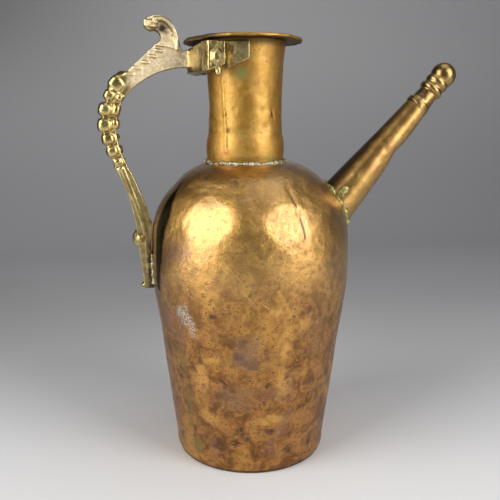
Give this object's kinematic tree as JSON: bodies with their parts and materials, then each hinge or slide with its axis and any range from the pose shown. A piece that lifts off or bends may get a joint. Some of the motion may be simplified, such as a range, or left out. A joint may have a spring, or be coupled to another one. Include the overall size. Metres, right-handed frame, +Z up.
{
  "type": "water jug",
  "caption": "Tall sheet-metal ewer with a tapering round body, slim neck under a flat rim, slanting spout closed by a slip-on ball stopper, and a cast beaded handle.",
  "frame": {"origin": "middle of the base plate's flat underside, on the surface that the jug stands on", "axes": "+Z up along the body's axis, +X towards the spout (the handle is towards -X), +Y to the left seen from the handle; the jug is symmetrical about the plane Y = 0"},
  "size_m": [0.2928, 0.1624, 0.3514],
  "materials": {
    "copper_body": "old polished copper, dented and mottled, golden where worn",
    "neck_brass": "old polished yellow copper alloy, hammered",
    "spout_copper": "old polished copper, brown and semi-gloss",
    "cast_brass": "cast yellow brass, smooth on the beads and rough on the side faces",
    "solder": "dull grey-green old solder"
  },
  "bodies": {
    "jug": {"base_plate": "copper_body", "body_shell": "copper_body", "base_solder": "solder", "neck_tube": "neck_brass", "neck_solder": "solder", "rim_flange": "neck_brass", "spout_tube": "spout_copper", "spout_solder": "solder", "handle": "cast_brass", "handle_foot_solder": "solder", "neck_strap": "cast_brass", "strap_pins": "cast_brass"},
    "cap": {"spout_cap": "cast_brass"}
  },
  "joints": [
    {"name": "cap_lift", "type": "slide", "parent": "jug", "child": "cap", "axis": [0.6528, 0, 0.7576], "range_m": [0, 0.04]}
  ]
}
